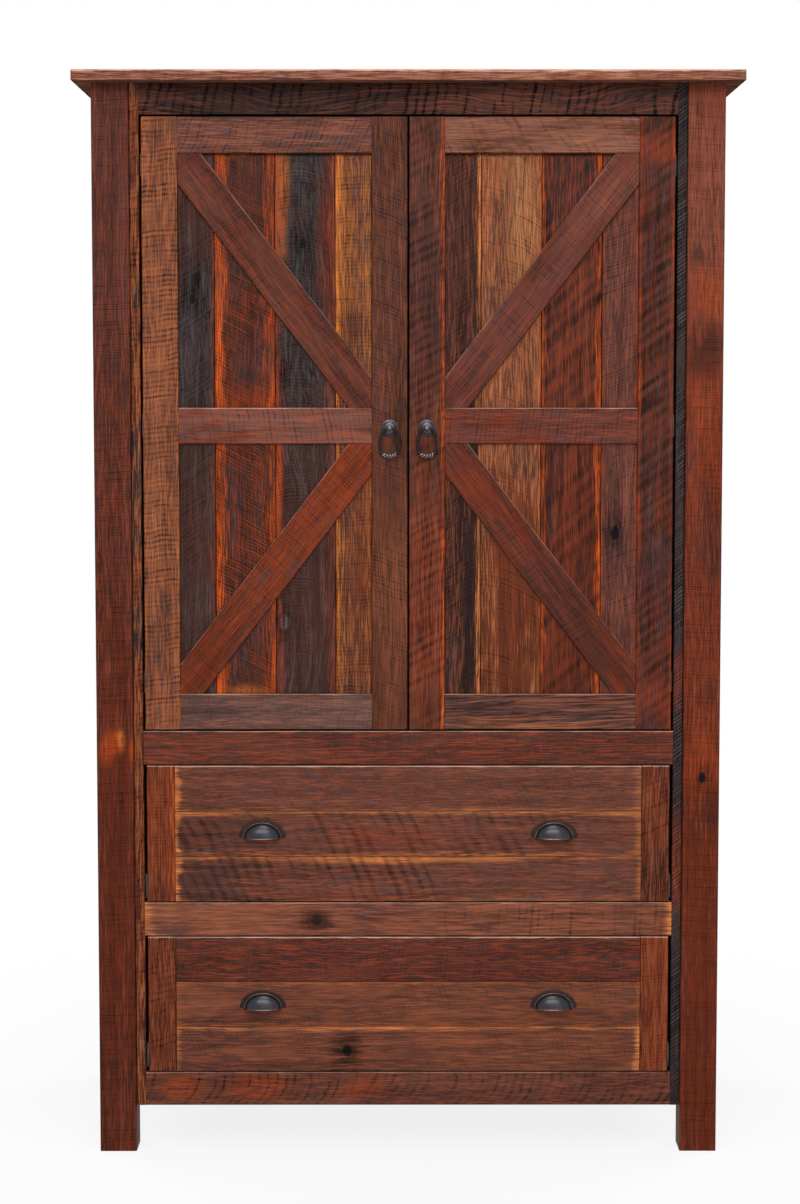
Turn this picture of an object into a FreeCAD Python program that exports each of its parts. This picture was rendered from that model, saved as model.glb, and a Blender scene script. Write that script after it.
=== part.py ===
import FreeCAD, Part
import math
import os

# Two-door, two-drawer plank wardrobe. Millimetres, +Z up, front towards -Y,
# origin on the floor under the middle of the top boards.

# Overall
overall_width = 1207.0
overall_depth = 610.0
overall_height = 1981.0

# Top boards
top_thickness = 20.0
top_side_overhang = 32.0
top_front_overhang = 32.0
top_back_overhang = 12.0
top_board_count = 4

# Corner posts
post_width = 67.5
post_depth = 68.0
post_ease = 2.0

# Face frame between the front posts
face_setback = 8.0
face_thickness = 24.0
face_stile_width = 17.5
rail_height = 62.0
top_rail_height = 56.5
ground_clearance = 85.0
drawer_opening = 257.0

# Case sides, back and floors
side_board_thickness = 13.0
side_board_count = 4
side_rail_thickness = 24.0
side_rail_height = 62.0
back_thickness = 12.0
back_setback = 19.0
back_board_count = 7
floor_thickness = 18.0
case_bottom_thickness = 12.0

# Clothes rod
rod_radius = 16.0
rod_drop = 90.0
rod_fit = 0.08
rod_end_play = 0.3
socket_flange_radius = 30.0
socket_flange_thickness = 3.0
socket_wall = 3.5
socket_depth = 14.0

# Board joints
edge_ease = 1.2
tongue_length = 5.0
tongue_clearance = 0.2
thin_tongue = 3.0
thick_tongue = 6.0

# Doors
door_thickness = 22.0
door_gap = 4.0
door_reveal = 3.5
meeting_gap = 3.0
door_frame_width = 65.0
door_groove_depth = 9.0
door_groove_clearance = 0.1
panel_end_clearance = 0.5
panel_setback = 7.0
plank_thickness = 9.0
edge_plank_width = 66.0
brace_width = 67.0
brace_setback = 0.8

# Door hinges: a cup in the door, an arm with a plate on the case, one pin
hinge_end_offset = 85.0
hinge_cup_radius = 17.5
hinge_cup_lip = 3.5
hinge_cup_skin = 4.4
hinge_cup_clearance = 0.1
hinge_cup_wall = 1.2
hinge_cup_floor = 0.8
hinge_wing_length = 54.0
hinge_wing_width = 24.0
hinge_wing_thickness = 1.2
hinge_axis_edge = 11.0
hinge_axis_depth = 9.0
hinge_pin_radius = 2.0
hinge_pin_fit = 0.05
hinge_eye_wall = 1.35
hinge_arm_height = 12.0
hinge_arm_thickness = 3.0
hinge_throat_clearance = 1.5
hinge_crank_depth = 30.0
hinge_plate_length = 46.0
hinge_plate_height = 40.0
hinge_plate_thickness = 2.5

# Ring pulls
rosette_radius = 15.5
rosette_rim = 1.6
rosette_step_radius = 11.5
rosette_step_height = 3.4
rosette_dome_radius = 8.0
rosette_dome_height = 6.0
boss_radius = 3.6
ball_radius = 5.2
ball_drop = 3.8
ball_standoff = 11.0
ring_wire_radius = 2.1
ring_hole_fit = 0.06
ring_bar_half = 6.4
ring_shoulder_bend = 6.0
ring_width = 39.0
ring_height = 53.0
ring_grip_radius = 3.3
ring_grip_width = 27.0
ring_grip_sag = 5.0

# Drawers
drawer_side_gap = 5.0
drawer_reveal = 2.0
drawer_front_thickness = 22.0
drawer_board_count = 3
drawer_end_width = 52.0
drawer_groove_depth = 9.0
box_back_clearance = 35.0
box_height = 200.0
box_lift = 2.0
box_side_thickness = 14.0
box_bottom_thickness = 6.0
box_bottom_lift = 10.0
box_groove_depth = 6.0
box_groove_clearance = 0.1

# Drawer slides
slide_height = 45.0
slide_thickness = 12.7
slide_setback = 26.0
slide_end_inset = 9.0
slide_metal = 1.5
slide_clearance = 0.4
slide_lip_gap = 1.2

# Cup pulls
cup_spacing = 538.0
cup_drop = 8.0
cup_half_width = 34.5
cup_height = 30.0
cup_projection = 20.0
cup_wall = 2.0
cup_flange_half_width = 43.0
cup_flange_height = 34.5
cup_flange_thickness = 2.2

# Places worked out from the sizes above
carcass_half = overall_width / 2 - top_side_overhang
post_inner = carcass_half - post_width
post_top = overall_height - top_thickness
post_front = -overall_depth / 2 + top_front_overhang
post_back = overall_depth / 2 - top_back_overhang
face_front = post_front + face_setback
face_back = face_front + face_thickness
opening_half = post_inner - face_stile_width
case_back = post_back - back_setback - back_thickness

lower_opening = ground_clearance + rail_height
drawer_rail_low = lower_opening + drawer_opening
upper_opening = drawer_rail_low + rail_height
middle_rail_low = upper_opening + drawer_opening
door_opening_low = middle_rail_low + rail_height
door_opening_high = post_top - top_rail_height

door_low = door_opening_low + door_reveal
door_high = door_opening_high - door_reveal
door_middle = (door_low + door_high) / 2
door_inner = meeting_gap / 2
door_outer = opening_half - door_gap
door_back = face_front + door_thickness
field_low = door_low + door_frame_width
field_high = door_high - door_frame_width
field_inner = door_inner + door_frame_width
field_outer = door_outer - door_frame_width
plank_front = face_front + panel_setback
plank_back = plank_front + plank_thickness

hinge_axis_x = door_outer - hinge_axis_edge
hinge_axis_y = face_front + hinge_axis_depth
hinge_cup_x = door_outer - hinge_cup_lip - hinge_cup_radius
hinge_heights = (door_low + hinge_end_offset, door_middle, door_high - hinge_end_offset)
hinge_eye_radius = hinge_pin_radius + hinge_pin_fit + hinge_eye_wall

front_half = opening_half - drawer_side_gap
front_back = face_front + drawer_front_thickness
box_half = opening_half - slide_thickness
box_length = case_back - front_back - box_back_clearance
slide_front = face_front + slide_setback
slide_back = front_back + box_length - slide_end_inset
drawers = {"upper": upper_opening, "lower": lower_opening}


def vec(x, y, z):
    return FreeCAD.Vector(x, y, z)


def block(x, y, z):
    return Part.makeBox(x[1] - x[0], y[1] - y[0], z[1] - z[0], vec(x[0], y[0], z[0]))


def rod(base, direction, radius, length):
    return Part.makeCylinder(radius, length, base, direction)


# Closed outline pushed along one axis; its points hold the other two axes in x, y, z order.
def prism(points, axis, start, end):
    at = {"x": lambda p: vec(start, p[0], p[1]),
          "y": lambda p: vec(p[0], start, p[1]),
          "z": lambda p: vec(p[0], p[1], start)}[axis]
    run = {"x": vec(end - start, 0, 0), "y": vec(0, end - start, 0), "z": vec(0, 0, end - start)}[axis]
    corners = [at(p) for p in points]
    return Part.Face(Part.makePolygon(corners + corners[:1])).extrude(run)


def swap(points):
    return [(b, a) for a, b in points]


# Section of a board with its two front corners eased, and a groove or tongue on either edge.
# Width runs low to high, thickness front to back; joint is (middle, thickness, length).
def section(low, high, front, back, groove_low=None, groove_high=None, tongue_high=None):
    turn = 1 if back > front else -1
    ease = edge_ease * turn
    points = [(low + edge_ease, front), (high - edge_ease, front), (high, front + ease)]
    if tongue_high:
        middle, thick, length = tongue_high
        half = thick / 2 * turn
        points += [(high, middle - half), (high + length, middle - half),
                   (high + length, middle + half), (high, middle + half)]
    if groove_high:
        middle, thick, length = groove_high
        half = thick / 2 * turn
        points += [(high, middle - half), (high - length, middle - half),
                   (high - length, middle + half), (high, middle + half)]
    points += [(high, back), (low, back)]
    if groove_low:
        middle, thick, length = groove_low
        half = thick / 2 * turn
        points += [(low, middle + half), (low + length, middle + half),
                   (low + length, middle - half), (low, middle - half)]
    return points + [(low, front + ease)]


# Sections of a row of boards whose tongues sit in their neighbours' grooves.
def matched_sections(edges, front, back, tongue):
    middle = (front + back) / 2
    groove = (middle, tongue + tongue_clearance, tongue_length + tongue_clearance)
    joint = (middle, tongue, tongue_length)
    last = len(edges) - 2
    return [section(low, high, front, back, groove_low=groove if i else None,
                    tongue_high=joint if i < last else None)
            for i, (low, high) in enumerate(zip(edges, edges[1:]))]


def even_edges(low, high, count):
    return [low + (high - low) * i / count for i in range(count + 1)]


def eased_post(x, y, z):
    e = post_ease
    outline = [(x[0] + e, y[0]), (x[1] - e, y[0]), (x[1], y[0] + e), (x[1], y[1] - e),
               (x[1] - e, y[1]), (x[0] + e, y[1]), (x[0], y[1] - e), (x[0], y[0] + e)]
    return prism(outline, "z", z[0], z[1])


def ease_front_edges(shape, front):
    edges = [e for e in shape.Edges if all(abs(v.Y - front) < 1e-6 for v in e.Vertexes)]
    return shape.makeChamfer(edge_ease, edges)


def mirrored(shape):
    return shape.mirror(vec(0, 0, 0), vec(1, 0, 0))


def both_sides(shapes):
    return list(shapes) + [mirrored(s) for s in shapes]


def joined(first, *others):
    return first.fuse(list(others)).removeSplitter()


# The case

def top_boards():
    edges = even_edges(-overall_depth / 2, overall_depth / 2, top_board_count)
    return [prism(s, "x", -overall_width / 2, overall_width / 2)
            for s in matched_sections(edges, overall_height, post_top, thick_tongue)]


def posts():
    x = (post_inner, carcass_half)
    front = eased_post(x, (post_front, post_front + post_depth), (0, post_top))
    back = eased_post(x, (post_back - post_depth, post_back), (0, post_top))
    return front, back


def face_stile():
    return prism(section(opening_half, post_inner, face_front, face_back), "z", ground_clearance, post_top)


def face_rail(low, height):
    outline = swap(section(low, low + height, face_front, face_back))
    return prism(outline, "x", -opening_half, opening_half)


def side_liner():
    return block((opening_half, post_inner), (face_back, case_back), (ground_clearance, post_top))


def side_boards():
    edges = even_edges(post_front + post_depth, post_back - post_depth, side_board_count)
    outer = post_inner + side_board_thickness
    return [prism(swap(s), "z", ground_clearance, post_top)
            for s in matched_sections(edges, outer, post_inner, thin_tongue)]


def side_rails():
    inner = post_inner + side_board_thickness
    lows = (ground_clearance, door_opening_low - side_rail_height, post_top - side_rail_height)
    outline = [swap(section(low, low + side_rail_height, inner + side_rail_thickness, inner)) for low in lows]
    # outline points hold (x, z); the rails run along y between the posts
    return [prism(s, "y", post_front + post_depth, post_back - post_depth) for s in outline]


def back_boards():
    edges = even_edges(-post_inner, post_inner, back_board_count)
    return [prism(s, "z", ground_clearance, post_top)
            for s in matched_sections(edges, case_back + back_thickness, case_back, thin_tongue)]


def case_floor(low, thickness):
    return block((-opening_half, opening_half), (face_back, case_back), (low, low + thickness))


def clothes_rod():
    half = opening_half - socket_flange_thickness - rod_end_play
    start = vec(-half, (face_back + case_back) / 2, post_top - rod_drop)
    return rod(start, vec(1, 0, 0), rod_radius, 2 * half)


def rod_socket():
    centre = vec(opening_half, (face_back + case_back) / 2, post_top - rod_drop)
    bore = rod_radius + rod_fit
    inward = vec(-1, 0, 0)
    flange = rod(centre, inward, socket_flange_radius, socket_flange_thickness)
    cup = rod(centre, inward, bore + socket_wall, socket_depth)
    hole = rod(centre + inward * socket_flange_thickness, inward, bore, socket_depth)
    return joined(flange, cup).cut(hole)


# Hinges, drawn for the right door

def hinge_arm(height):
    half = hinge_arm_height / 2
    z = (height - half, height + half)
    eye = rod(vec(hinge_axis_x, hinge_axis_y, z[0]), vec(0, 0, 1), hinge_eye_radius, hinge_arm_height)
    crank = face_front + hinge_crank_depth
    neck_far = hinge_axis_x - hinge_eye_radius
    neck = block((neck_far, neck_far + hinge_arm_thickness), (hinge_axis_y, crank + hinge_arm_thickness), z)
    reach = block((neck_far, opening_half), (crank, crank + hinge_arm_thickness), z)
    plate = block((opening_half - hinge_plate_thickness, opening_half), (crank, crank + hinge_plate_length),
                  (height - hinge_plate_height / 2, height + hinge_plate_height / 2))
    hole = rod(vec(hinge_axis_x, hinge_axis_y, z[0]), vec(0, 0, 1),
               hinge_pin_radius + hinge_pin_fit, hinge_arm_height)
    return joined(eye, neck, reach, plate).cut(hole)


# Slot for the arm, from the cup out past the door's edge.
def hinge_throat(height):
    half = hinge_arm_height / 2 + hinge_throat_clearance
    return block((hinge_cup_x, door_outer + edge_ease), (face_front + hinge_cup_skin, door_back),
                 (height - half, height + half))


def hinge_bore(height):
    floor = face_front + hinge_cup_skin
    bore = rod(vec(hinge_cup_x, floor, height), vec(0, 1, 0), hinge_cup_radius, door_back - floor)
    return joined(bore, hinge_throat(height))


def hinge_cup(height):
    floor = face_front + hinge_cup_skin
    depth = door_back - floor
    outer = hinge_cup_radius - hinge_cup_clearance
    inner = outer - hinge_cup_wall
    centre = vec(hinge_cup_x, floor, height)
    back = vec(0, 1, 0)
    wing_x = (hinge_cup_x - hinge_wing_width / 2, hinge_cup_x + hinge_wing_width / 2)
    wing = block(wing_x, (door_back, door_back + hinge_wing_thickness),
                 (height - hinge_wing_length / 2, height + hinge_wing_length / 2))
    shell = joined(rod(centre, back, outer, depth), wing)
    hollow = rod(centre + back * hinge_cup_floor, back, inner, depth + hinge_wing_thickness)
    shell = shell.cut(hollow).cut(hinge_throat(height))
    chord = math.sqrt((inner + hinge_cup_wall / 2) ** 2 - (hinge_axis_x - hinge_cup_x) ** 2)
    pin = rod(vec(hinge_axis_x, hinge_axis_y, height - chord), vec(0, 0, 1), hinge_pin_radius, 2 * chord)
    return joined(shell, pin)


# The right door

door_groove = (plank_front + plank_thickness / 2, plank_thickness + 2 * door_groove_clearance,
               door_groove_depth)
door_tenon = door_groove_depth - panel_end_clearance


def hinge_stile():
    outline = section(field_outer, door_outer, face_front, door_back, groove_low=door_groove)
    stile = prism(outline, "z", door_low, door_high)
    for height in hinge_heights:
        stile = stile.cut(hinge_bore(height))
    return stile


def meeting_stile():
    outline = section(door_inner, field_inner, face_front, door_back, groove_high=door_groove)
    return prism(outline, "z", door_low, door_high)


def door_rail(low, high, groove_low=None, groove_high=None):
    outline = swap(section(low, high, face_front, door_back, groove_low, groove_high))
    rail = prism(outline, "x", field_inner, field_outer)
    z = (low + door_groove_depth if groove_low else low, high - door_groove_depth if groove_high else high)
    tenons = [block(x, (plank_front, plank_back), z)
              for x in ((field_inner - door_tenon, field_inner), (field_outer, field_outer + door_tenon))]
    return joined(rail, *tenons)


def door_planks():
    low, high = field_inner - door_tenon, field_outer + door_tenon
    middle = (field_inner + field_outer) / 2
    edges = [low, field_inner + edge_plank_width, middle, field_outer - edge_plank_width, high]
    return [prism(s, "z", field_low - door_tenon, field_high + door_tenon)
            for s in matched_sections(edges, plank_front, plank_back, thin_tongue)]


def door_middle_rail():
    outline = swap(section(door_middle - door_frame_width / 2, door_middle + door_frame_width / 2,
                           face_front + brace_setback, plank_front))
    return prism(outline, "x", field_inner, field_outer)


# Brace along the diagonal of one half of the door, its ends cut to the corner.
def door_brace(low, high, rises_outward):
    width, height = field_outer - field_inner, high - low
    diagonal = math.hypot(width, height)
    along = brace_width / 2 * diagonal / height
    up = brace_width / 2 * diagonal / width
    outline = [(0, 0), (along, 0), (width, height - up), (width, height), (width - along, height), (0, up)]
    if rises_outward:
        points = [(field_inner + a, low + b) for a, b in outline]
    else:
        points = [(field_outer - a, low + b) for a, b in outline]
    front = face_front + brace_setback
    return ease_front_edges(prism(points, "y", front, plank_front), front)


# Ring pull on the right door's meeting stile

pull_x = (door_inner + field_inner) / 2
ball_y = face_front - ball_standoff
ball_z = door_middle - ball_drop


def pull_mount():
    profile = [(0, 0), (rosette_radius, 0), (rosette_radius, rosette_rim),
               (rosette_step_radius + edge_ease, rosette_rim + edge_ease),
               (rosette_step_radius, rosette_step_height),
               (rosette_dome_radius, rosette_step_height), (rosette_dome_radius / 2, rosette_dome_height),
               (0, rosette_dome_height)]
    corners = [vec(pull_x + r, face_front - h, door_middle) for r, h in profile]
    face = Part.Face(Part.makePolygon(corners + corners[:1]))
    rosette = face.revolve(vec(pull_x, face_front, door_middle), vec(0, 1, 0), 360)
    centre = vec(pull_x, ball_y, ball_z)
    boss = rod(vec(pull_x, face_front - rosette_rim, ball_z), vec(0, -1, 0),
               boss_radius, ball_standoff - rosette_rim)
    ball = Part.makeSphere(ball_radius, centre)
    hole = rod(vec(pull_x - ball_radius, ball_y, ball_z), vec(1, 0, 0),
               ring_wire_radius + ring_hole_fit, 2 * ball_radius)
    return joined(rosette, boss, ball).cut(hole)


def pull_point(x, z):
    return vec(pull_x + x, ball_y, ball_z + z)


def arc(start, middle, end):
    return Part.Arc(pull_point(*start), pull_point(*middle), pull_point(*end)).toShape()


# Point on a circle in the ring's plane, at an angle from +X.
def on_circle(centre, radius, angle):
    return centre[0] + radius * math.cos(angle), centre[1] + radius * math.sin(angle)


def swept(edges, radius):
    path = Part.Wire(Part.__sortEdges__(edges))
    first = path.OrderedEdges[0]
    start = path.OrderedVertexes[0].Point
    heading = first.tangentAt(first.getParameterByLength(0))
    return path.makePipeShell([Part.Wire(Part.makeCircle(radius, start, heading))], True, False)


# The ring is a bar through the ball, a shoulder arc, a straight side and a lower corner arc on each
# side, and a thicker grip that sags between the corners. All runs meet in line.
def pull_ring():
    half = ring_width / 2 - ring_wire_radius
    grip = ring_grip_width / 2
    deep = ring_height - ring_grip_radius
    grip_bend = (grip ** 2 + ring_grip_sag ** 2) / (2 * ring_grip_sag)
    tilt = math.asin(grip / grip_bend)
    corner_bend = (half - grip) / (1 - math.sin(tilt))
    shoulder = (ring_bar_half, -ring_shoulder_bend)
    corner = (grip - corner_bend * math.sin(tilt), ring_grip_sag - deep + corner_bend * math.cos(tilt))
    dx, dz = corner[0] - shoulder[0], corner[1] - shoulder[1]
    side = math.atan2(dz, dx) + math.asin((corner_bend - ring_shoulder_bend) / math.hypot(dx, dz))
    outward = side + math.pi / 2
    shoulder_points = [on_circle(shoulder, ring_shoulder_bend, a)
                       for a in (math.pi / 2, (math.pi / 2 + outward) / 2, outward)]
    low = tilt - math.pi / 2
    corner_points = [on_circle(corner, corner_bend, a) for a in (outward, (outward + low) / 2, low)]

    half_runs = [shoulder_points, corner_points]
    edges = [Part.makeLine(pull_point(-ring_bar_half, 0), pull_point(ring_bar_half, 0))]
    for sign in (1, -1):
        runs = [[(sign * x, z) for x, z in run] for run in half_runs]
        edges += [arc(*run) for run in runs]
        edges.append(Part.makeLine(pull_point(*runs[0][2]), pull_point(*runs[1][0])))
    hoop = swept(edges, ring_wire_radius)
    grip_arc = arc((grip, ring_grip_sag - deep), (0, -deep), (-grip, ring_grip_sag - deep))
    return joined(hoop, swept([grip_arc], ring_grip_radius))


# A drawer, with the floor of its opening at the height low

def drawer_levels(low):
    return low + drawer_reveal, low + drawer_opening - drawer_reveal


def front_boards(low):
    bottom, top = drawer_levels(low)
    end = front_half - drawer_end_width
    middle = (face_front + front_back) / 2
    tenon = drawer_groove_depth - panel_end_clearance
    edges = even_edges(bottom, top, drawer_board_count)
    boards = []
    for outline, (z0, z1) in zip(matched_sections(edges, face_front, front_back, thick_tongue),
                                 zip(edges, edges[1:])):
        board = prism(swap(outline), "x", -end, end)
        y = (middle - thick_tongue / 2, middle + thick_tongue / 2)
        tongue = block((end, end + tenon), y, (z0, z1))
        boards.append(joined(board, *both_sides([tongue])))
    return boards


def front_end(low):
    bottom, top = drawer_levels(low)
    groove = ((face_front + front_back) / 2, thick_tongue + tongue_clearance, drawer_groove_depth)
    outline = section(front_half - drawer_end_width, front_half, face_front, front_back, groove_low=groove)
    return prism(outline, "z", bottom, top)


def box_bottom(low, clearance=0.0):
    inner = box_half - box_side_thickness + box_groove_depth + clearance
    floor = drawer_levels(low)[0] + box_lift + box_bottom_lift
    reach = box_side_thickness - box_groove_depth - clearance
    return block((-inner, inner), (front_back + reach, front_back + box_length - reach),
                 (floor - clearance, floor + box_bottom_thickness + clearance))


def drawer_box(low):
    z0 = drawer_levels(low)[0] + box_lift
    z = (z0, z0 + box_height)
    inner = box_half - box_side_thickness
    side = block((inner, box_half), (front_back, front_back + box_length), z)
    front = block((-inner, inner), (front_back, front_back + box_side_thickness), z)
    back = front.translated(vec(0, box_length - box_side_thickness, 0))
    groove = box_bottom(low, box_groove_clearance)
    return [s.cut(groove) for s in both_sides([side]) + [front, back]]


# Slide members are channels nested in one another; reach is measured in from the case side.
def channel(low, web, tip, half_height, opens_inward):
    middle = drawer_levels(low)[0] + box_lift + slide_height / 2
    z = (middle - half_height, middle + half_height)
    y = (slide_front, slide_back)
    shape = block((opening_half - tip, opening_half - web), y, z)
    inside = (z[0] + slide_metal, z[1] - slide_metal)
    if opens_inward:
        hollow = block((opening_half - tip, opening_half - web - slide_metal), y, inside)
    else:
        hollow = block((opening_half - tip + slide_metal, opening_half - web), y, inside)
    return shape.cut(hollow)


def slide_members(low):
    step = slide_metal + slide_clearance
    half = slide_height / 2
    outer = channel(low, 0, slide_thickness - slide_lip_gap, half, True)
    middle = channel(low, step, slide_thickness - slide_lip_gap, half - step, True)
    inner = channel(low, 2 * step, slide_thickness, half - 2 * step, False)
    return outer, middle, inner


# Solid cut from a unit shape and drawn out to the pull's half width, projection and height.
def stretched(shape, half_width, projection, height, base):
    stretch = FreeCAD.Matrix()
    stretch.scale(half_width, projection, height)
    return shape.transformGeometry(stretch).translated(base)


def cup_pull(low):
    bottom, top = drawer_levels(low)
    base = vec(cup_spacing / 2, face_front, (bottom + top) / 2 - cup_drop)
    quarter = Part.makeSphere(1.0, vec(0, 0, 0), vec(0, 0, 1), 0, 90, 180)
    quarter.rotate(vec(0, 0, 0), vec(0, 0, 1), 180)
    half_disc = Part.makeCylinder(1.0, 1.0, vec(0, 0, 0), vec(0, 0, 1), 180)
    half_disc.rotate(vec(0, 0, 0), vec(1, 0, 0), 90)
    outer = stretched(quarter, cup_half_width, cup_projection, cup_height, base)
    hollow = stretched(quarter, cup_half_width - cup_wall, cup_projection - cup_wall,
                       cup_height - cup_wall, base)
    flange = stretched(half_disc, cup_flange_half_width, cup_flange_thickness, cup_flange_height, base)
    return outer.fuse(flange).cut(hollow)


def build():
    front_post, back_post = posts()
    outers = [m for low in drawers.values() for m in both_sides([slide_members(low)[0]])]
    pieces = {
        "top_boards": top_boards(),
        "front_right_post": [front_post], "front_left_post": [mirrored(front_post)],
        "back_right_post": [back_post], "back_left_post": [mirrored(back_post)],
        "right_face_stile": [face_stile()], "left_face_stile": [mirrored(face_stile())],
        "top_face_rail": [face_rail(door_opening_high, top_rail_height)],
        "middle_face_rail": [face_rail(middle_rail_low, rail_height)],
        "drawer_face_rail": [face_rail(drawer_rail_low, rail_height)],
        "bottom_face_rail": [face_rail(ground_clearance, rail_height)],
        "right_side_liner": [side_liner()], "left_side_liner": [mirrored(side_liner())],
        "right_side_boards": side_boards(), "left_side_boards": [mirrored(s) for s in side_boards()],
        "right_side_rails": side_rails(), "left_side_rails": [mirrored(s) for s in side_rails()],
        "back_boards": back_boards(),
        "wardrobe_floor": [case_floor(door_opening_low - floor_thickness, floor_thickness)],
        "case_bottom": [case_floor(ground_clearance, case_bottom_thickness)],
        "clothes_rod": [clothes_rod()],
        "rod_sockets": both_sides([rod_socket()]),
        "hinge_arms": both_sides([hinge_arm(h) for h in hinge_heights]),
        "slide_outers": outers,
    }
    mid_low, mid_high = door_middle - door_frame_width / 2, door_middle + door_frame_width / 2
    door = {
        "hinge_stile": [hinge_stile()],
        "meeting_stile": [meeting_stile()],
        "top_rail": [door_rail(field_high, door_high, groove_low=door_groove)],
        "bottom_rail": [door_rail(door_low, field_low, groove_high=door_groove)],
        "middle_rail": [door_middle_rail()],
        "upper_brace": [door_brace(mid_high, field_high, True)],
        "lower_brace": [door_brace(field_low, mid_low, False)],
        "planks": door_planks(),
        "hinge_cups": [hinge_cup(h) for h in hinge_heights],
        "pull_mount": [pull_mount()],
        "pull_ring": [pull_ring()],
    }
    for name, solids in door.items():
        pieces["right_door_" + name] = solids
        pieces["left_door_" + name] = [mirrored(s) for s in solids]
    # the pulls are symmetric in themselves, so the left ones are moved copies
    for name in ("pull_mount", "pull_ring"):
        pieces["left_door_" + name] = [s.translated(vec(-2 * pull_x, 0, 0)) for s in door[name]]
    for name, low in drawers.items():
        outer, middle, inner = slide_members(low)
        pieces[name + "_drawer_front_boards"] = front_boards(low)
        pieces[name + "_drawer_front_ends"] = both_sides([front_end(low)])
        pieces[name + "_drawer_box"] = drawer_box(low)
        pieces[name + "_drawer_bottom"] = [box_bottom(low)]
        pieces[name + "_drawer_cup_pulls"] = both_sides([cup_pull(low)])
        pieces[name + "_drawer_slide_inners"] = both_sides([inner])
        pieces[name + "_slide_middles"] = both_sides([middle])
    return pieces


os.makedirs("parts", exist_ok=True)
for node, solids in build().items():
    shape = solids[0] if len(solids) == 1 else Part.makeCompound(solids)
    shape.exportStep("parts/" + node + ".step")
    state = "valid" if shape.isValid() else "BAD"
    print(node, len(shape.Solids), "solids", round(shape.Volume / 1000), "cm3", state)
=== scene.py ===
import bpy
import math
from mathutils import Matrix, Vector


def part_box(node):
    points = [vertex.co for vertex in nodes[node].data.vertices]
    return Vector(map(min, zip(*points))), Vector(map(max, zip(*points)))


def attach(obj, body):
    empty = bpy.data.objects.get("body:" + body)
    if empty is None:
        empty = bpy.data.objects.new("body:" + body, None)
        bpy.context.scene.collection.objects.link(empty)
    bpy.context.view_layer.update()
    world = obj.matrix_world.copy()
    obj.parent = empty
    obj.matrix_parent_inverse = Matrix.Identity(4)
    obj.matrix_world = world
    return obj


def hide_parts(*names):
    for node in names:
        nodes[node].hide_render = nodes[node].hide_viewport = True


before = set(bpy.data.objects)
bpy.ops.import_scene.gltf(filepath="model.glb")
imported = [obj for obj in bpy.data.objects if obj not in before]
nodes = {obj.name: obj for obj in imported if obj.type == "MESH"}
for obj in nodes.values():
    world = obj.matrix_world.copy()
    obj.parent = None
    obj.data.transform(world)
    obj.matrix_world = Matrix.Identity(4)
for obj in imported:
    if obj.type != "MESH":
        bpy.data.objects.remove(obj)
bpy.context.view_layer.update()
print("frame:", len(nodes), "nodes")


# stain colours, given in 8 bits and turned linear
def stain(r, g, b):
    def linear(c):
        c = c / 255
        return c / 12.92 if c < 0.04045 else ((c + 0.055) / 1.055) ** 2.4
    return (linear(r), linear(g), linear(b), 1.0)


coal = stain(28, 23, 24)
soot = stain(46, 36, 37)
smoke = stain(100, 90, 88)
bark = stain(58, 32, 24)
umber = stain(76, 42, 33)
walnut = stain(90, 53, 41)
plum = stain(94, 55, 47)
mauve = stain(122, 80, 68)
ash = stain(92, 70, 63)
clay = stain(134, 80, 63)
# grey of the painted sheen on the fibres
sheenGrey = stain(116, 88, 84)
russet = stain(100, 43, 25)
brick = stain(130, 58, 38)
chestnut = stain(124, 70, 47)
tan = stain(158, 94, 58)
rust = stain(156, 64, 28)
ember = stain(200, 84, 24)
amber = stain(196, 112, 42)
honey = stain(186, 130, 84)
# colour of the painted highlight on upper front arrises
highlightPale = stain(208, 166, 146)
garnet = stain(92, 37, 18)
sienna = stain(124, 53, 26)
apricot = stain(204, 122, 66)
sorrel = stain(128, 70, 50)
copper = stain(170, 92, 44)
gold = stain(156, 94, 50)
dune = stain(148, 110, 92)


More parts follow.
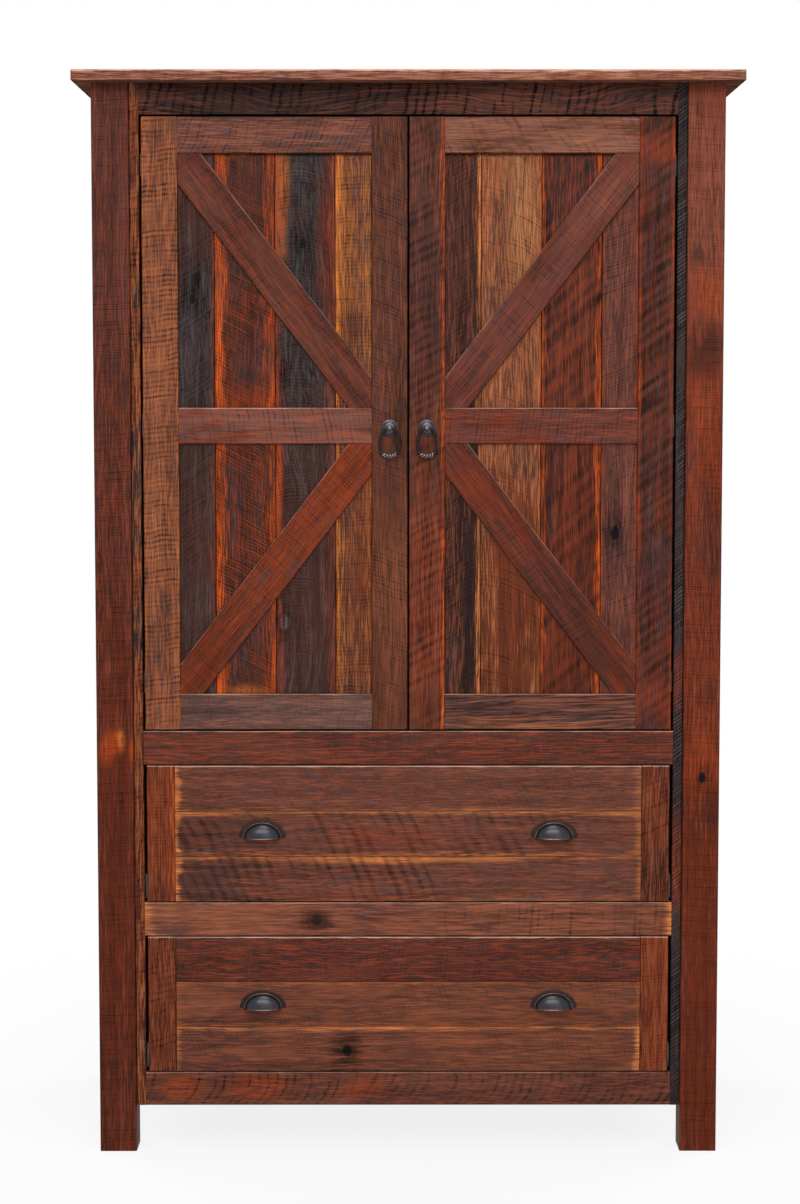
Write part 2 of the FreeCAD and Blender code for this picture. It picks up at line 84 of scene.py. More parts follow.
# a shader socket that can be reckoned with
class Wire:
    def __init__(self, tree, socket=None):
        self.tree = tree
        self.socket = socket

    def add(self, kind, settings=None, values=None, out=0):
        node = self.tree.nodes.new(kind)
        for key, value in (settings or {}).items():
            setattr(node, key, value)
        for key, value in (values or {}).items():
            if isinstance(value, Wire):
                self.tree.links.new(value.socket, node.inputs[key])
            else:
                node.inputs[key].default_value = value
        return Wire(self.tree, node.outputs[out])

    def math(self, operation, first, second=0.0):
        return self.add("ShaderNodeMath", {"operation": operation}, {0: first, 1: second})

    def __add__(self, other): return self.math("ADD", self, other)
    def __radd__(self, other): return self.math("ADD", other, self)
    def __sub__(self, other): return self.math("SUBTRACT", self, other)
    def __rsub__(self, other): return self.math("SUBTRACT", other, self)
    def __mul__(self, other): return self.math("MULTIPLY", self, other)
    def __truediv__(self, other): return self.math("DIVIDE", self, other)

    def step(self, start, end):
        return self.add("ShaderNodeMapRange", {"interpolation_type": "SMOOTHSTEP"},
                        {"Value": self, "From Min": start, "From Max": end})

    def split(self):
        node = self.add("ShaderNodeSeparateXYZ", None, {0: self}).socket.node
        return [Wire(self.tree, out) for out in node.outputs]

    def join(self, x, y, z):
        return self.add("ShaderNodeCombineXYZ", None, {0: x, 1: y, 2: z})

    def noise(self, scale, seed, detail=2.0, rough=0.55):
        spot = self.add("ShaderNodeVectorMath", {"operation": "MULTIPLY_ADD"},
                        {0: self, 1: scale, 2: (seed, seed * 1.7, seed * 2.3)})
        return self.add("ShaderNodeTexNoise", None,
                        {"Vector": spot, "Scale": 1.0, "Detail": detail, "Roughness": rough})

    # mixes two colours, with itself as the share of the second
    def between(self, first, second):
        return self.add("ShaderNodeMix", {"data_type": "RGBA"}, {0: self, 6: first, 7: second}, out=2)

    def over(self, share, colour):
        return share.between(self, colour)

    def atLeast(self, least):
        return self * (1 - least) + least

    def tone(self, value):
        return self.add("ShaderNodeVectorMath", {"operation": "SCALE"}, {0: self, "Scale": value})

    def feed(self, shader, name):
        self.tree.links.new(self.socket, shader.inputs[name])


def newFinish(name, fixed):
    finish = bpy.data.materials.new(name)
    finish.use_nodes = True
    shader = finish.node_tree.nodes["Principled BSDF"]
    for key, value in fixed.items():
        shader.inputs[key].default_value = value
    return finish, Wire(finish.node_tree), shader


bumpStrength = 0.7


def addBump(wire, shader, height, depth):
    bump = {"Height": height, "Distance": depth, "Strength": bumpStrength}
    wire.add("ShaderNodeBump", None, bump).feed(shader, "Normal")


# how a board lies: along the grain, across it, out of its face
lies = {
    "upright": ((0, 0, 1), (1, 0, 0), (0, 1, 0)),
    "level": ((1, 0, 0), (0, 0, 1), (0, -1, 0)),
    "sideUpright": ((0, 0, 1), (0, 1, 0), (-1, 0, 0)),
    "sideLevel": ((0, 1, 0), (0, 0, 1), (1, 0, 0)),
    "flat": ((1, 0, 0), (0, 1, 0), (0, 0, 1)),
}

plainLook = {
    "main": walnut, "ridge": brick, "deep": umber, "glow": amber,
    "cloud": (0.48, 0.64),      # where the dark patches begin and are full
    "streak": 0.6,              # how much of the ridge colour shows in the fibres
    "sheen": 0.45,              # painted sheen: grey on the low fibres
    "grain": 0.6, "fibre": 1.2, "length": 1.0, "wander": 0.02,
    "pitch": 0.0055, "tilt": 4, "arc": 0.0, "marks": 0.4, "raised": 0.15,    # saw marks
    "even": 0.6, "rate": 9, "soft": 0.0, "zone": None,
    "edges": (0, 0), "wear": 0.003, "tips": (0, 0), "tipWear": 0.008,    # rubbed edges and ends
    "rimHighlight": 0.0, "rimHighlightWidth": 0.0018, "seamShade": 0.45,    # painted highlight on the upper front arris, painted shade in the seams
    "gloss": 0.05, "rough": 0.5, "relief": 1.0,
    "row": 0,                   # boards side by side in one piece
    "sides": 0.0,               # thickness of a box's sides
    "blots": [],                # (along, across, half length, half width, colour, strength) in metres
}


def tones(main, ridge, deep):
    return {"main": main, "ridge": ridge, "deep": deep}


# shared by all boards
grainSet = {
    # noise: scale along, across and into the board, seed offset, detail, roughness
    "stray": ((2.5, 8.0, 8.0), 0, 2.0, 0.55), "streak": ((20.0, 400.0, 400.0), 7, 2.5, 0.7),
    "grain": ((2.2, 70.0, 70.0), 3, 3.0, 0.55), "cloud": ((6.0, 18.0, 18.0), 11, 3.0, 0.55),
    # saw marks
    "kerfLength": 1.4, "kerfDepth": 20.0, "kerfSpread": 3.5, "kerfStray": 0.006, "kerfFibre": 0.8,
    "kerfSeed": 23, "kerfRough": 0.6,
    "sharp": {"detail": 2.0, "phase": 14.0}, "blurred": {"detail": 0.5, "phase": 6.0},
    # where things begin and are full
    "strongMarks": (0.66, 0.40), "zoneFade": (1.3, 0.6), "darkMark": (-0.2, -1.0), "lightMark": (0.2, 1.0),
    "lowFibre": (0.47, 0.38), "highFibre": (0.48, 0.55), "wornCloud": (0.60, 0.42),
    "wornFibre": (0.40, 0.56), "knotFade": (1.2, 0.7), "haloFade": (4.5, 1.0), "blotFade": (1.5, 0.5),
    "blotFibre": (0.38, 0.56),
    "edgeFade": (-0.8, 1.0), "tipFade": (-0.6, 0.7), "rimHighlightFade": (0.0, 0.8), "rimHighlightFront": (-0.5, 0.5),
    "seamShadeFade": (0.0, 0.9), "seamShadeWidth": 0.0016,
    # what is left of them at the weakest
    "leastMarks": 0.4, "leastBlot": 0.5, "leastEdge": 0.15, "leastTip": 0.4, "leastRimHighlight": 0.5,
    # shares of fibre, cloud and grain in a border, and how far it strays
    "ragged": (2.4, 2.4, 1.2), "patchy": (1.2, 4.0, 2.0),
    "knotRagged": 0.5, "blotRagged": 1.2, "edgeRagged": 1.3, "rimHighlightRagged": 2,
    "wornShares": (0.6, 0.4), "roughShares": (0.3, 0.2), "heightShares": (0.15, 0.8, 0.3),
    "knotSize": 0.016, "haloRings": 5.0, "haloShade": (0.08, 0.30),
    "boardShift": 9.0, "boardTint": 0.8, "boardStep": 0.618,    # neighbours in a row differ
    "bump": 0.0010,
}


def laid(wire, here, middle, axes):
    turn = Matrix(axes).transposed().to_euler("XYZ")
    return wire.add("ShaderNodeMapping", {"vector_type": "TEXTURE"}, {
        "Vector": here, "Location": middle, "Rotation": turn})


# rough sawn, stained board
def sawnWood(name, low, high, lie, look, seed):
    spec = {**plainLook, **look}
    g = grainSet
    finish, wire, shader = newFinish(name, {"Specular IOR Level": spec["gloss"]})
    axes = lies[lie] if isinstance(lie, str) else lie
    middle = (Vector(low) + Vector(high)) / 2
    spread = Vector(high) - Vector(low)
    half = spec.get("width", abs(spread.dot(Vector(axes[1])))) / 2
    halfLength = abs(spread.dot(Vector(axes[0]))) / 2
    here = wire.add("ShaderNodeTexCoord", out="Object")
    place = laid(wire, here, middle, axes)
    if spec["sides"]:    # a box: what stands between its sides has its grain crosswise
        crosswise = laid(wire, here, middle, lies["level"])
        offside = wire.math("ABSOLUTE", here.split()[0] - middle.x)
        inner = wire.math("LESS_THAN", offside, spread.x / 2 - spec["sides"])
        both = {0: inner, 4: place, 5: crosswise}
        place = wire.add("ShaderNodeMix", {"data_type": "VECTOR"}, both, out=1)
    u, v, w = place.split()
    tint = None
    if spec["row"]:    # several boards side by side, each with its own cut of the grain
        pitch = 2 * half / spec["row"]
        index = wire.math("FLOOR", (v + half) / pitch)
        tint = wire.math("FRACT", (index + seed) * g["boardStep"])
        u = u + tint * g["boardShift"]
        v = v - (index + 0.5) * pitch + half
        half = pitch / 2

    def texture(place, kind, stretch=1.0):
        (along, across, into), shift, detail, rough = g[kind]
        return place.noise((along / stretch, across, into), seed + shift, detail, rough)

    stray = texture(wire.join(u, v, w), "stray") - 0.5
    lane = wire.join(u, v + stray * spec["wander"], w)
    streak, grain = texture(lane, "streak", spec["length"]), texture(lane, "grain")
    cloud = texture(lane, "cloud")
    fibreSwing, cloudSwing, grainSwing = streak - 0.5, cloud - 0.5, grain - 0.5
    ragged, patchy = [fibreSwing * a + cloudSwing * b + grainSwing * c
                      for a, b, c in (g["ragged"], g["patchy"])]

    # saw marks
    cut = g["blurred"] if spec["soft"] else g["sharp"]
    tilt = math.radians(spec["tilt"])
    travel = u * math.cos(tilt) - v * math.sin(tilt) + v * v * spec["arc"] + stray * g["kerfStray"]
    kerf = wire.join(travel * (g["kerfLength"] / spec["pitch"]), v * spec["rate"], w * g["kerfDepth"])
    kerf = kerf.noise((1, 1, 1), seed + g["kerfSeed"], cut["detail"], g["kerfRough"]) - 0.5
    wave = wire.math("SINE", travel * (2 * math.pi / spec["pitch"]) + cloudSwing * cut["phase"])
    saw = kerf * g["kerfSpread"] + wave * spec["even"] + fibreSwing * g["kerfFibre"]
    strong = cloud.step(*g["strongMarks"]).atLeast(g["leastMarks"])
    if spec["zone"]:
        centre, reach = spec["zone"]
        strong = strong * (wire.math("ABSOLUTE", u - centre) / reach).step(*g["zoneFade"])
    begin, full = g["lightMark"]
    raised = saw.step(begin - spec["soft"], full) * strong * spec["raised"]
    begin, full = g["darkMark"]
    dark = saw.step(begin + spec["soft"], full) * strong * spec["marks"]

    # stain
    colour = cloud.step(*spec["cloud"]).between(spec["main"], spec["deep"])
    if tint:
        colour = colour.over(tint * g["boardTint"], spec["ridge"])
    # painted sheen: grey mixed into the low fibres
    colour = colour.over(streak.step(*g["lowFibre"]) * spec["sheen"], sheenGrey)
    fibres = streak.step(*g["highFibre"]) * spec["streak"]
    colour = colour.over(wire.math("MAXIMUM", fibres, raised), spec["ridge"])
    byCloud, byFibre = g["wornShares"]
    worn = cloud.step(*g["wornCloud"]) * byCloud + streak.step(*g["wornFibre"]) * byFibre
    for along, across, blotLength, blotWidth, paint, strength in spec["blots"]:
        du, dv = (u - along) / blotLength, (v - across) / blotWidth
        knot = max(blotLength, blotWidth) < g["knotSize"]
        far = wire.math("SQRT", du * du + dv * dv) + ragged * g["knotRagged" if knot else "blotRagged"]
        if knot:    # grain flows round it
            colour = colour.over(far.step(*g["knotFade"]) * strength, paint)
            change, even = g["haloShade"]
            ring = wire.math("SINE", far * g["haloRings"])
            dark = dark + far.step(*g["haloFade"]) * (ring * change + even)
        else:
            threads = streak.step(*g["blotFibre"]).atLeast(g["leastBlot"])
            colour = colour.over(far.step(*g["blotFade"]) * threads * strength, paint)
    for side, amount in zip((1, -1), spec["edges"]):
        if amount:
            near = 1 - (v * side + half) / spec["wear"] + ragged * g["edgeRagged"]
            rubbed = near.step(*g["edgeFade"]) * worn.atLeast(g["leastEdge"])
            colour = colour.over(rubbed * amount, spec["glow"])
    for side, amount in zip((1, -1), spec["tips"]):
        if amount:
            near = 1 - (u * side + halfLength) / spec["tipWear"] + patchy
            rubbed = near.step(*g["tipFade"]) * worn.atLeast(g["leastTip"])
            colour = colour.over(rubbed * amount, spec["glow"])
    # painted shade in the seams: darker within a couple of millimetres of each long edge
    seam = 1 - (half - wire.math("ABSOLUTE", v)) / g["seamShadeWidth"]
    seamShade = seam.step(*g["seamShadeFade"]) * spec["seamShade"]
    shade = 1 + grainSwing * (2 * spec["grain"]) + fibreSwing * (2 * spec["fibre"]) - dark - seamShade
    colour = colour.tone(shade)
    if spec["rimHighlight"]:    # painted highlight: a light line along the upper front arris, broken up by the wear pattern
        front = 1 - (here.split()[1] - low[1]) / spec["rimHighlightWidth"]
        reach = halfLength - u if lie == "upright" else half - v
        near = 1 - reach / spec["rimHighlightWidth"] + fibreSwing * g["rimHighlightRagged"]
        rubbed = near.step(*g["rimHighlightFade"]) * front.step(*g["rimHighlightFront"]) * worn.atLeast(g["leastRimHighlight"])
        colour = colour.over(rubbed * spec["rimHighlight"], highlightPale)
    colour.feed(shader, "Base Color")
    byFibre, byCloud = g["roughShares"]
    (spec["rough"] + fibreSwing * byFibre + cloudSwing * byCloud).feed(shader, "Roughness")
    byMark, byFibre, byGrain = g["heightShares"]
    height = saw * strong * byMark + streak * byFibre + grain * byGrain
    addBump(wire, shader, height, g["bump"] * spec["relief"])
    return finish


def dress(piece, *finishes):
    piece.data.materials.clear()
    for finish in finishes:
        piece.data.materials.append(finish)


def letGo():
    if bpy.context.object and bpy.context.object.mode != "OBJECT":
        bpy.ops.object.mode_set(mode="OBJECT")
    bpy.ops.object.select_all(action="DESELECT")


def openMesh():
    bpy.ops.object.mode_set(mode="EDIT")
    bpy.ops.mesh.select_all(action="SELECT")


def leaveMesh():
    bpy.ops.object.mode_set(mode="OBJECT")


# turns all faces outward, then leaves edit mode
def closeMesh():
    bpy.ops.mesh.select_all(action="SELECT")
    bpy.ops.mesh.normals_make_consistent(inside=False)
    leaveMesh()


def settle(piece, name):
    piece.name = name
    piece.data.name = name
    bpy.ops.object.transform_apply(location=True, rotation=True, scale=True)
    return piece


def keepModifier(piece, kind, **settings):
    change = piece.modifiers.new(kind.title(), kind)
    for key, value in settings.items():
        setattr(change, key, value)
    bpy.context.view_layer.objects.active = piece
    bpy.ops.object.modifier_apply(modifier=change.name)


# selects vertices by their place, in edit mode
def pick(piece, test):
    leaveMesh()
    for part in [*piece.data.polygons, *piece.data.edges]:
        part.select = False
    for vertex in piece.data.vertices:
        vertex.select = test(vertex.co)
    bpy.ops.object.mode_set(mode="EDIT")
    bpy.ops.mesh.select_mode(type="VERT")


def block(name, low, high):
    letGo()
    low, high = Vector(low), Vector(high)
    bpy.ops.mesh.primitive_cube_add(size=1, location=(low + high) / 2)
    piece = bpy.context.object
    piece.scale = high - low
    return settle(piece, name)


# cuts level seams into the mesh at hand
def cutAcross(heights):
    for height in heights:
        openMesh()
        bpy.ops.mesh.bisect(plane_co=(0, 0, height), plane_no=(0, 0, 1))
    leaveMesh()


def roundEdges(piece, width, turn=40, smooth=35):
    keepModifier(piece, "BEVEL", width=width, segments=3, limit_method="ANGLE",
                 angle_limit=math.radians(turn))
    bpy.ops.object.shade_smooth_by_angle(angle=math.radians(smooth))


def sphere(name, sides, radius, place=(0, 0, 0)):
    letGo()
    around, rings = sides
    bpy.ops.mesh.primitive_uv_sphere_add(segments=around, ring_count=rings, radius=radius, location=place)
    return settle(bpy.context.object, name)


# Door planks
plankSet = {
    "edgeWidth": 0.066,    # the outer planks, seen beside the frame
    "slip": 0.0003, "ease": 0.0014,
    "bevelHeight": 0.007, "bevelDepth": 0.0035, "nearby": 0.001,    # planed top ends
    "seed": {"left": 11, "right": 51}, "seedStep": 5,
    "looks": {
        "left": [
            {**tones(coal, smoke, soot), "glow": rust, "pitch": 0.008, "tilt": 34, "streak": 0.25,
             "raised": 0.30, "marks": 0.3, "edges": (0, 0.3), "wear": 0.006, "blots": [
                 (0.40, 0.0, 0.12, 0.06, umber, 0.7), (-0.28, 0.0, 0.24, 0.06, umber, 0.75),
                 # the two smoke flecks are painted highlights at the knot's edge
                 (0.262, 0.014, 0.020, 0.005, smoke, 0.6), (0.236, 0.004, 0.017, 0.005, smoke, 0.5),
                 (0.266, 0.003, 0.015, 0.008, coal, 1.0), (0.229, -0.008, 0.011, 0.006, coal, 1.0)]},
            {**tones(bark, rust, soot), "glow": ember, "pitch": 0.0060, "tilt": -27, "streak": 0.25,
             "raised": 0.55, "marks": 0.5, "edges": (0.95, 0.6), "wear": 0.014, "seamShade": 0.2, "blots": [
                 (0.43, 0.0, 0.10, 0.06, umber, 0.5), (0.03, 0.0, 0.05, 0.06, rust, 0.4),
                 (0.505, -0.005, 0.016, 0.03, apricot, 0.7), (-0.488, -0.005, 0.016, 0.04, copper, 0.8),
                 (-0.46, 0.0, 0.025, 0.03, soot, 0.5), (-0.07, 0.061, 0.09, 0.007, ember, 0.9)]},
            {**tones(coal, smoke, bark), "glow": brick, "pitch": 0.006, "tilt": -10, "arc": 6.0,
             "wander": 0.08, "streak": 0.3, "raised": 0.35, "marks": 0.35, "edges": (0.85, 0.7),
             "wear": 0.012, "blots": [
                 (-0.30, 0.0, 0.26, 0.08, umber, 0.75), (0.43, -0.048, 0.11, 0.016, copper, 0.9),
                 (0.33, -0.004, 0.012, 0.008, coal, 0.9), (0.10, -0.042, 0.011, 0.006, coal, 1.0),
                 (0.32, 0.045, 0.12, 0.020, russet, 0.8), (-0.07, -0.055, 0.10, 0.008, ember, 0.9),
                 (-0.36, -0.039, 0.012, 0.009, smoke, 0.7)]},
            {**tones(walnut, gold, umber), "glow": amber, "pitch": 0.0066, "tilt": 3, "streak": 0.5,
             "raised": 0.3, "marks": 0.38, "edges": (0.7, 0.3), "wear": 0.010, "blots": [
                 (0.30, -0.02, 0.16, 0.02, amber, 0.25), (0.18, 0.0, 0.03, 0.05, umber, 0.6),
                 (-0.25, 0.012, 0.25, 0.03, russet, 0.6)]},
        ],
        "right": [
            {**tones(bark, sorrel, soot), "streak": 0.45, "glow": apricot, "pitch": 0.008, "tilt": 28,
             "marks": 0.35, "sheen": 0.25, "edges": (0, 0.85), "wear": 0.006, "blots": [
                 (0.3, -0.01, 0.20, 0.04, umber, 0.5), (-0.30, 0.016, 0.22, 0.020, coal, 0.85)]},
            {**tones(chestnut, tan, walnut), "glow": copper, "pitch": 0.0075, "tilt": -22, "sheen": 0.3,
             "arc": 3.0, "marks": 0.35, "raised": 0.35, "even": 0.5, "edges": (0.2, 0.4), "wear": 0.006,
             "blots": [
                 (0.40, 0.012, 0.10, 0.030, honey, 0.4), (-0.32, 0.01, 0.22, 0.06, garnet, 0.85)]},
            {**tones(umber, rust, soot), "glow": ember, "pitch": 0.024, "tilt": 41, "marks": 0.4,
             "streak": 0.3, "raised": 0.3, "soft": 0.8, "even": 0.3, "sheen": 0.2, "edges": (0.5, 0.95),
             "wear": 0.008, "blots": [
                 (-0.30, 0.0, 0.24, 0.06, garnet, 0.5), (-0.08, -0.035, 0.08, 0.02, coal, 0.6)]},
            {**tones(plum, sorrel, umber), "glow": rust, "pitch": 0.006, "tilt": 20, "streak": 0.5,
             "edges": (0.3, 0.5), "wear": 0.005, "blots": [
                 (-0.20, -0.006, 0.10, 0.018, soot, 0.5), (-0.195, -0.0075, 0.015, 0.008, coal, 1.0)]},
        ],
    },
}


def makePlanks():
    for side in ("left", "right"):
        node = side + "_door_planks"
        low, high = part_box(node)
        stiles = [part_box(side + "_door_hinge_stile"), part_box(side + "_door_meeting_stile")]
        if side == "right":
            stiles.reverse()
        fieldLow, fieldHigh = stiles[0][1].x, stiles[1][0].x
        seams = [low.x, fieldLow + plankSet["edgeWidth"], (fieldLow + fieldHigh) / 2,
                 fieldHigh - plankSet["edgeWidth"], high.x]
        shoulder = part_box(side + "_door_top_rail")[0].z
        for i, look in enumerate(plankSet["looks"][side]):
            a = Vector((seams[i] + plankSet["slip"], low.y, low.z))
            b = Vector((seams[i + 1] - plankSet["slip"], high.y, high.z))
            plank = block(f"{side}_door_plank_{i + 1}", a, b)
            cutAcross((shoulder - plankSet["bevelHeight"], shoulder))
            near = plankSet["nearby"]
            pick(plank, lambda co: co.y < low.y + near and co.z > shoulder - near)
            bpy.ops.transform.translate(value=(0, plankSet["bevelDepth"], 0))
            letGo()
            roundEdges(plank, plankSet["ease"])
            shown = Vector((max(a.x, fieldLow), a.y, a.z)), Vector((min(b.x, fieldHigh), b.y, b.z))
            seed = plankSet["seed"][side] + i * plankSet["seedStep"]
            dress(plank, sawnWood(plank.name, *shown, "upright", look, seed))
            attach(plank, side + "_door")
            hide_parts(node)


makePlanks()
print("door planks done")

# Drawer fronts
slanted = {"sheen": 0.8, "marks": 0.36, "soft": 0.2, "even": 0.7, "wear": 0.005, "tipWear": 0.009}
quiet = {"deep": chestnut, "sheen": 0.5, "pitch": 0.009, "tilt": -20, "marks": 0.15}
drawerSet = {
    "boards": 3, "endWidth": 0.052, "slip": 0.0003, "ease": 0.0016,
    "seed": {"upper": 101, "lower": 151}, "seedStep": 7,
    "endSeed": {"upper": 201, "lower": 251}, "endSeedStep": 9,
    "boardLook": {"main": walnut, "ridge": sorrel, "glow": apricot, "seamShade": 0.0},
    "endLook": {"ridge": chestnut, "sheen": 0.1, "rimHighlight": 1.0, "rimHighlightWidth": 0.0028},
    "looks": {    # from the bottom board up
        "upper": [
            {**slanted, "deep": umber, "pitch": 0.020, "tilt": -24, "zone": (-0.20, 0.30),
             "edges": (0.2, 0.6), "tips": (0.95, 0.35), "blots": [
                 (-0.37, 0.0, 0.07, 0.05, soot, 0.55), (0.02, 0.036, 0.20, 0.006, apricot, 0.7),
                 (-0.10, -0.034, 0.12, 0.006, brick, 0.6)]},
            {**slanted, "deep": plum, "pitch": 0.022, "tilt": -26, "zone": (-0.12, 0.42),
             "edges": (0.55, 0.5), "tips": (0.95, 0.4), "blots": [
                 (-0.36, 0.0, 0.09, 0.05, soot, 0.35), (-0.40, 0.037, 0.07, 0.005, apricot, 0.8),
                 (0.40, 0.037, 0.05, 0.004, apricot, 0.7), (0.0, -0.01, 0.12, 0.02, brick, 0.5)]},
            {"deep": plum, "sheen": 0.8, "pitch": 0.009, "tilt": -30, "marks": 0.15, "edges": (0.4, 0.0),
             "wear": 0.004, "tips": (0.9, 0.3), "tipWear": 0.010, "rimHighlight": 1.2, "rimHighlightWidth": 0.0028},
        ],
        "lower": [
            {**quiet, "edges": (0, 0.7), "wear": 0.005, "tips": (0.4, 0.95), "blots": [
                (0.20, 0.0, 0.20, 0.04, chestnut, 0.5),
                (-0.113, -0.002, 0.032, 0.026, bark, 0.85), (-0.113, -0.003, 0.010, 0.0145, coal, 1.0)]},
            {**quiet, "glow": copper, "edges": (0.4, 0.4), "wear": 0.004, "tips": (0.4, 0.5),
             "blots": [(0.15, 0.0, 0.25, 0.04, chestnut, 0.4)]},
            {**tones(umber, brick, bark), "pitch": 0.009, "tilt": 10, "wander": 0.06,
             "marks": 0.15, "seamShade": 0.45, "rimHighlight": 1.2, "rimHighlightWidth": 0.0028},
        ],
        "ends": {
            "upper": [{"main": sienna, "deep": russet, "pitch": 0.006, "tilt": 4, "marks": 0.3,
                       "glow": ember, "edges": (0, 0.8), "wear": 0.004},
                      {"main": russet, "deep": bark, "pitch": 0.010, "tilt": 24, "marks": 0.4}],
            "lower": [{"main": russet, "deep": bark, "pitch": 0.012, "tilt": 16, "marks": 0.45},
                      {"main": sienna, "deep": russet, "pitch": 0.006, "tilt": 6, "marks": 0.3}],
        },
    },
}


def makeDrawerFronts():
    for level in ("upper", "lower"):
        node = level + "_drawer_front_boards"
        endNode = level + "_drawer_front_ends"
        low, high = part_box(endNode)
        inner = high.x - drawerSet["endWidth"]
        rise = (high.z - low.z) / drawerSet["boards"]
        for i, look in enumerate(drawerSet["looks"][level]):
            a = Vector((-inner, low.y, low.z + rise * i + drawerSet["slip"]))
            b = Vector((inner, high.y, low.z + rise * (i + 1) - drawerSet["slip"]))
            board = block(f"{level}_drawer_board_{i + 1}", a, b)
            roundEdges(board, drawerSet["ease"])
            seed = drawerSet["seed"][level] + i * drawerSet["seedStep"]
            dress(board, sawnWood(board.name, a, b, "level", {**drawerSet["boardLook"], **look}, seed))
            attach(board, level + "_drawer")
            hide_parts(node)
        for i, look in enumerate(drawerSet["looks"]["ends"][level]):
            spanLow, spanHigh = ((low.x, -inner), (inner, high.x))[i]
            a = Vector((spanLow + drawerSet["slip"], low.y, low.z))
            b = Vector((spanHigh - drawerSet["slip"], high.y, high.z))
            end = block(f"{level}_drawer_end_{i + 1}", a, b)
            roundEdges(end, drawerSet["ease"])
            seed = drawerSet["endSeed"][level] + i * drawerSet["endSeedStep"]
            dress(end, sawnWood(end.name, a, b, "upright", {**drawerSet["endLook"], **look}, seed))
            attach(end, level + "_drawer")
            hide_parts(endNode)


makeDrawerFronts()
print("drawer fronts done")

# Top boards
topSet = {
    "slip": 0.0003, "ease": 0.0014, "seed": 301, "seedStep": 13,
    "look": {"pitch": 0.012, "tilt": 14, "marks": 0.12, "gloss": 0.0},
    "front": {**tones(sorrel, dune, plum), "rimHighlight": 1.25, "rimHighlightWidth": 0.0048},
    "others": [tones(walnut, clay, umber), tones(chestnut, sorrel, plum),
               tones(plum, mauve, walnut)],
}


def makeTop():
    low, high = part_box("top_boards")
    boards = [topSet["front"]] + topSet["others"]
    deep = (high.y - low.y) / len(boards)
    for i, look in enumerate(boards):
        before = topSet["slip"] if i else 0
        behind = topSet["slip"] if i < len(boards) - 1 else 0
        a = Vector((low.x, low.y + deep * i + before, low.z))
        b = Vector((high.x, low.y + deep * (i + 1) - behind, high.z))
        board = block(f"top_board_{i + 1}", a, b)
        roundEdges(board, topSet["ease"])
        lie = "flat" if i else "level"    # the first one's face is the front edge
        seed = topSet["seed"] + i * topSet["seedStep"]
        dress(board, sawnWood(board.name, a, b, lie, {**topSet["look"], **look}, seed))
        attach(board, "carcass")
        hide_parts("top_boards")


makeTop()
print("top done")

